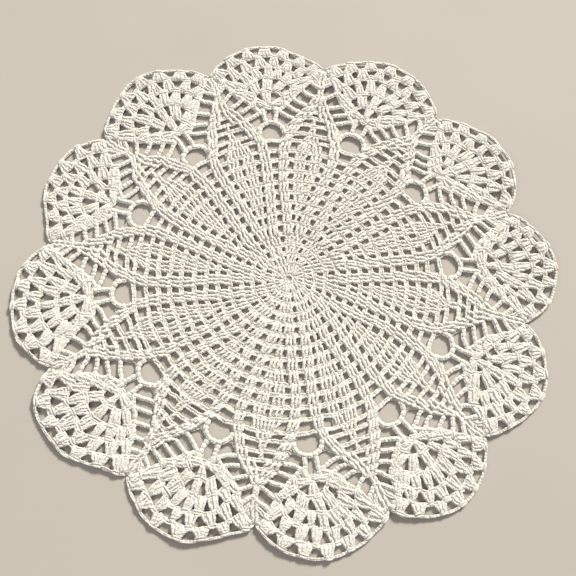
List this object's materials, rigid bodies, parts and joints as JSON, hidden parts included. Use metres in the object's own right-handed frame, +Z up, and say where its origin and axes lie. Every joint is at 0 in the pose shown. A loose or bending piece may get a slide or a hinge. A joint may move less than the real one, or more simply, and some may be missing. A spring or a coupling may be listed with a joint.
{
  "type": "lace doily",
  "caption": "Round crocheted lace doily of ecru cotton, lying flat, with leaf-shaped panels of close stitches, ladders of chain bars and a scalloped border of cluster fans.",
  "frame": {"origin": "middle of the doily's bounding box, on the surface that it lies on", "axes": "+Z up out of the surface; +X and +Y across the doily, +X along its slightly longer way, with a scallop's axis close to +Y and the crochet's middle within 2 mm of the Z axis"},
  "size_m": [0.3558, 0.3504, 0.003],
  "materials": {
    "ecru_cotton": "matte crocheted cotton yarn"
  },
  "bodies": {
    "root": {"doily": "ecru_cotton"}
  },
  "joints": []
}
